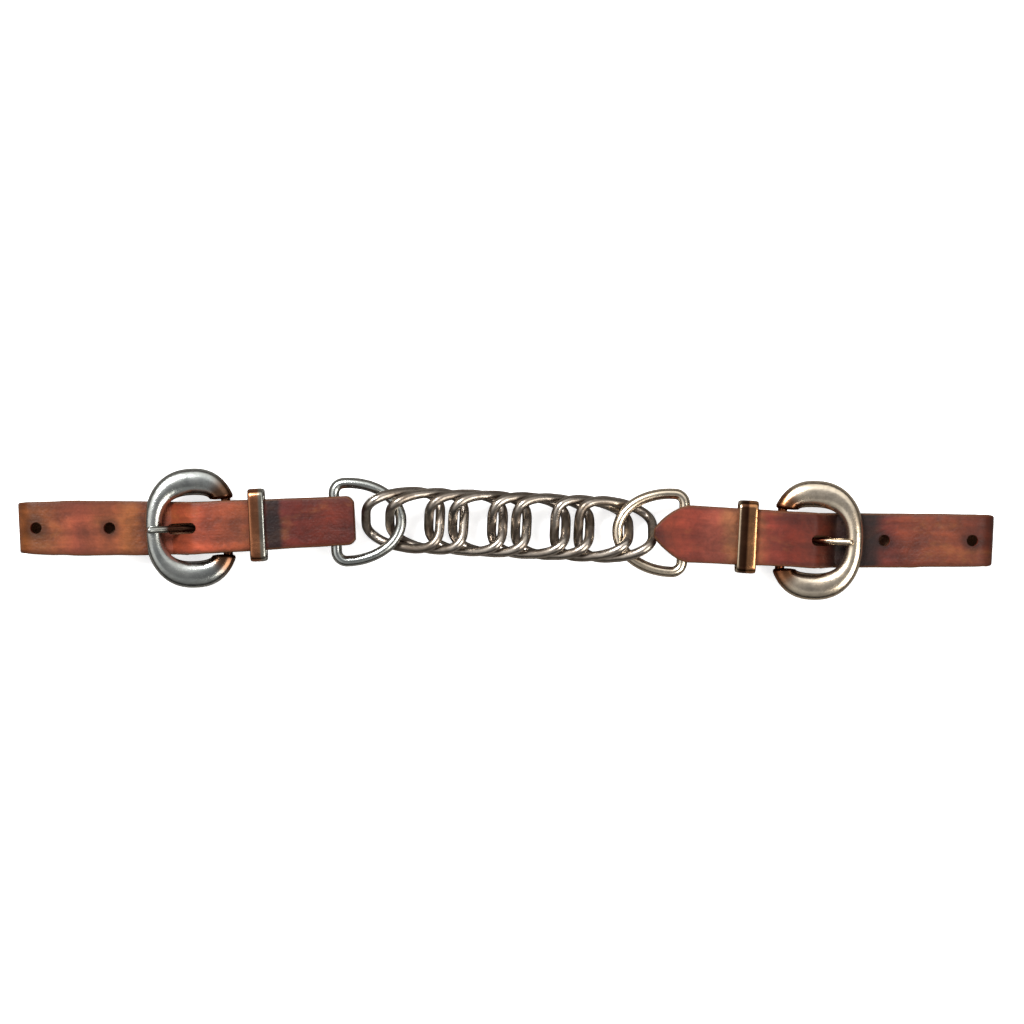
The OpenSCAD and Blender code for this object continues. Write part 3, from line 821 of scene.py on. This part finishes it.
def add_link(k, material):
    """A link is a long ring that turns about the chain's axis as it runs along it."""
    centre_x = ((k - 1) // 2 - 1.5) * LINK_PITCH + ((k - 1) % 2 - 0.5) * LINK_STEP
    roll = PAIR_ROLL[(k - 1) // 2]
    steps = 144
    line, ups = [], []
    for i in range(steps):
        t = math.tau * (i + 0.5) / steps
        x = LINK_LEN / 2 * signed_power(math.cos(t), 2 / LINK_POWER)
        w = LINK_W / 2 * signed_power(math.sin(t), 2 / LINK_POWER)
        turn = math.radians(roll - LINK_TWIST * x)
        line.append(Vector((centre_x + x, w * math.cos(turn), CHAIN_Z + w * math.sin(turn))))
        ups.append(Vector((0, -math.sin(turn), math.cos(turn))))
    shape = wire(line, LINK_WIRE_R * LINK_PLUMP, sides=20, closed=True, up=lambda i: ups[i])
    mesh = make_mesh(f"link_{k}_wire", shape, CHAIN_PLACE)
    add_piece(f"link_{k}_wire", f"chain_link_{k}", mesh, material)


WHITE = (1, 1, 1)
# The same nickel plate as two copies in painted light: dimmer and cool on the left, brightly lit and warm on
# the right
SHADED_NICKEL, SHADED_NICKEL_DARK = linear(196, 200, 196), linear(118, 112, 102)
LIT_NICKEL, LIT_NICKEL_DARK = linear(242, 226, 202), linear(156, 132, 104)
# painted reflection of the brown leather on the frame's feet, darkest on the heel bar
FEET_LEATHER_REFLECTION = ((0.0, WHITE), (0.72, WHITE), (0.90, linear(176, 130, 104)), (1.0, linear(120, 74, 56)))
POLISH, DULL = (0.15, 0.30), (0.22, 0.38)
metals = {
    "left": {
        "plate": metal("nickel_left", SHADED_NICKEL, SHADED_NICKEL_DARK, POLISH),
        "frame": metal("frame_left", SHADED_NICKEL, SHADED_NICKEL_DARK, POLISH, stops=FEET_LEATHER_REFLECTION),
        # painted shade and painted brown reflection of the leather on the shank; the tip keeps the plain
        # metal
        "tongue": metal("tongue_left", SHADED_NICKEL, SHADED_NICKEL_DARK, POLISH, stops=(
            (0.0, linear(120, 96, 84)), (0.70, linear(96, 62, 50)),
            (0.80, linear(230, 226, 220)), (0.9, WHITE),
        )),
        # painted reflection of the leather across the band, with the plain metal at its tip-side edge
        "keeper": metal("keeper_left", SHADED_NICKEL, SHADED_NICKEL_DARK, POLISH, stops=(
            (0.0, WHITE), (0.24, linear(222, 208, 192)), (0.42, linear(236, 156, 116)),
            (0.85, linear(230, 146, 106)), (1.0, linear(216, 156, 122)),
        )),
    },
    "right": {
        "plate": metal("nickel_right", LIT_NICKEL, LIT_NICKEL_DARK, POLISH),
        "frame": metal("frame_right", LIT_NICKEL, LIT_NICKEL_DARK, POLISH, stops=FEET_LEATHER_REFLECTION),
        # painted shade and painted brown reflection of the leather on the shank; the tip keeps the plain
        # metal
        "tongue": metal("tongue_right", LIT_NICKEL, LIT_NICKEL_DARK, POLISH, stops=(
            (0.0, linear(120, 92, 80)), (0.56, linear(90, 56, 46)),
            (0.68, linear(226, 216, 206)), (0.8, WHITE),
        )),
        # painted reflections: plain metal at the tip-side edge, a dark reflection in the middle and the
        # leather's on the buckle side
        "keeper": metal("keeper_right", LIT_NICKEL, LIT_NICKEL_DARK, POLISH, stops=(
            (0.0, linear(240, 232, 220)), (0.18, linear(110, 84, 70)), (0.44, linear(90, 62, 52)),
            (0.58, linear(214, 162, 126)), (1.0, linear(216, 170, 134)),
        )),
    },
}
chain_metal = metal("chain_metal", linear(186, 176, 165), linear(102, 87, 72), DULL, tarnish=0.85)
thread = waxed_thread()
leathers = {
    # painted shadows: beside the left keeper, and in and beside the right buckle
    "left": leather("leather_left", LEFT_TONES_AND_SHADE, 3.1, LEFT.holes, painted_shadow_band=(14.6, 18.8, 0.9, 0.16)),
    "right": leather("leather_right", RIGHT_TONES_AND_SHADE, 7.7, RIGHT.holes, painted_shadow_band=(39.0, 54.5, 2.2, 0.2)),
}
for side in (LEFT, RIGHT):
    finish = metals[side.name]
    add_strap(side, leathers[side.name])
    add_stitching(side, thread)
    add_buckle_frame(side, finish["frame"])
    add_tongue(side, finish["tongue"])
    add_keeper(side, finish["keeper"])
    add_d_ring(side, finish["plate"])
for link in range(1, 9):
    add_link(link, chain_metal)


# The stage: a pale floor, a soft sky and soft lights
FLOOR_REACH, FLOOR_DROP, FLOOR_GLOW = 3.0, 0.0002, 0.70
KEY_SIDE = (-0.5, 0.86, 0)
SKY_STRENGTH = 0.75
SEEN_WIDTH = 0.2826
CAMERA_LENS, CAMERA_SENSOR = 120, 36


def add_floor():
    """A floor that is nearly white to look at, and dim in the metal's reflections."""
    material, g = new_material("pale_floor")
    diffuse = g.add("ShaderNodeBsdfDiffuse", {"Color": (0.9, 0.9, 0.9, 1)})
    glow = g.add("ShaderNodeEmission", {"Color": (1, 1, 1, 1), "Strength": FLOOR_GLOW})
    both = g.add("ShaderNodeAddShader", {0: diffuse.outputs[0], 1: glow.outputs[0]})
    dim = g.add("ShaderNodeBsdfDiffuse", {"Color": (0.16, 0.15, 0.14, 1)})
    seen = g.add("ShaderNodeLightPath").outputs["Is Camera Ray"]
    mixed = g.add("ShaderNodeMixShader", {0: seen, 1: dim.outputs[0], 2: both.outputs[0]})
    surface(g, mixed)
    corners = [Vector((x * FLOOR_REACH, y * FLOOR_REACH, -FLOOR_DROP)) for x, y in CORNERS]
    mesh = bpy.data.meshes.new("pale_floor")
    mesh.from_pydata(corners, [], [(0, 1, 2, 3)])
    mesh.materials.append(material)
    floor = bpy.data.objects.new("pale_floor", mesh)
    bpy.context.scene.collection.objects.link(floor)


def add_sky():
    """A soft sky: a dark horizon, a bright ring above it, and more light on the key light's side."""
    world = bpy.data.worlds.new("studio")
    bpy.context.scene.world = world
    world.use_nodes = True
    g = Graph(world.node_tree)
    direction = g.add("ShaderNodeTexCoord").outputs["Generated"]
    upward = g.parts(direction)[2]
    towards_key = g.vector_math("DOT_PRODUCT", direction, KEY_SIDE, 1)
    colour = g.ramp(upward, (
        (0.0, (0.05, 0.045, 0.04)), (0.35, (0.10, 0.09, 0.085)), (0.62, (0.95, 0.93, 0.90)),
        (0.86, (1.05, 1.05, 1.05)), (0.97, (0.30, 0.30, 0.31)),
    ))
    colour = g.shaded(colour, g.span(towards_key, -0.6, 0.6, 0.3, 1.5))
    shade = g.add("ShaderNodeBackground", {"Color": colour, "Strength": SKY_STRENGTH})
    out = g.add("ShaderNodeOutputWorld")
    g.set(out.inputs["Surface"], shade.outputs[0])


def add_light(name, at, power, size, colour=WHITE):
    """A square light that faces the origin."""
    data = bpy.data.lights.new(name, "AREA")
    data.energy = power
    data.size = size
    data.color = colour
    light = bpy.data.objects.new(name, data)
    light.location = at
    light.rotation_euler = (-Vector(at)).to_track_quat("-Z", "Y").to_euler()
    bpy.context.scene.collection.objects.link(light)


def add_camera():
    """Straight above the object, a little to the side of its middle."""
    data = bpy.data.cameras.new("camera")
    data.lens = CAMERA_LENS
    data.sensor_width = CAMERA_SENSOR
    distance = SEEN_WIDTH * CAMERA_LENS / CAMERA_SENSOR
    camera = bpy.data.objects.new("camera", data)
    camera.location = (0.00166, 0.00613, 0.008 + distance)
    data.clip_start, data.clip_end = 0.01, 10
    bpy.context.scene.collection.objects.link(camera)
    bpy.context.scene.camera = camera


add_floor()
add_sky()
add_light("key", (-0.35, 0.45, 0.75), 9, 0.35)
add_light("fill", (0.5, -0.25, 0.6), 4, 0.5, (1.0, 0.96, 0.9))
add_camera()
bpy.context.scene.view_settings.view_transform = "Standard"
